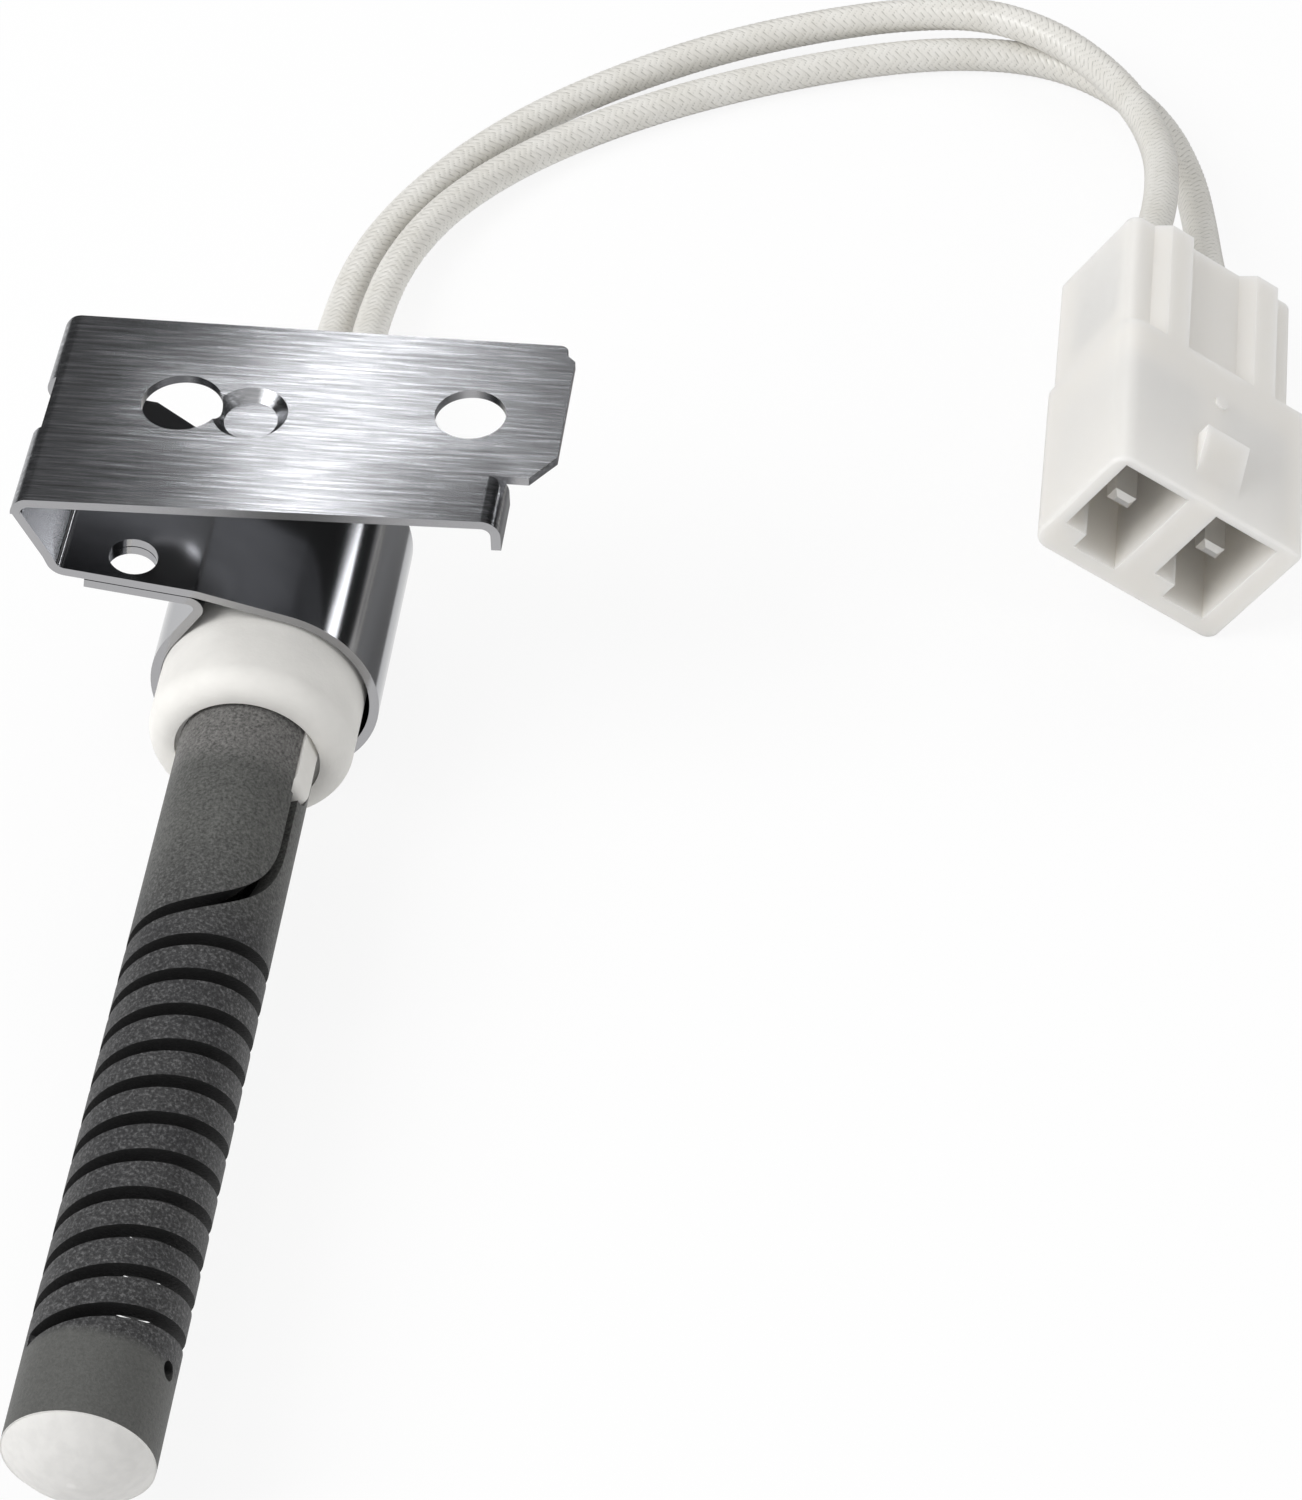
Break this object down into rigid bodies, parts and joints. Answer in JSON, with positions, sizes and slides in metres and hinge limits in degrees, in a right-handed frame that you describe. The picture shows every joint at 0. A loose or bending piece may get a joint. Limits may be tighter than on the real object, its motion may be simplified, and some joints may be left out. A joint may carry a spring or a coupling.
{
  "type": "hot surface igniter",
  "caption": "Hot surface igniter: a slotted silicon carbide spiral in a ceramic collar, held by a folded steel strap bracket, with braided leads to a pin plug.",
  "frame": {"origin": "centre of the bracket's screw hole, on the top face of its plate", "axes": "+Z is the plate's outward normal, +Y runs along the tube from its tip towards the ceramic and the leads, +X runs along the plate towards the screw hole's end"},
  "size_m": [0.116, 0.2073, 0.0348],
  "materials": {
    "bracket_steel": "brushed along the plate",
    "base_ceramic": "matte, fired",
    "silicon_carbide": "fine grained, matte",
    "cap_cement": "matte",
    "terminal_metal": "tinned",
    "bare_wire": "plated, satin",
    "housing_nylon": "satin, slightly translucent",
    "lead_braid": "braided glass fibre"
  },
  "bodies": {
    "root": {"bracket": "bracket_steel", "ceramic_base": "base_ceramic", "heating_element": "silicon_carbide", "end_plug": "cap_cement", "cement_sleeve": "cap_cement", "rear_seal": "cap_cement", "terminal_clip_1": "terminal_metal", "terminal_clip_2": "terminal_metal", "base_conductor_1": "bare_wire", "base_conductor_2": "bare_wire", "connector_housing": "housing_nylon", "pin_terminal_1": "terminal_metal", "pin_terminal_2": "terminal_metal", "plug_conductor_1": "bare_wire", "plug_conductor_2": "bare_wire", "lead_1": "lead_braid", "lead_2": "lead_braid"}
  },
  "joints": []
}
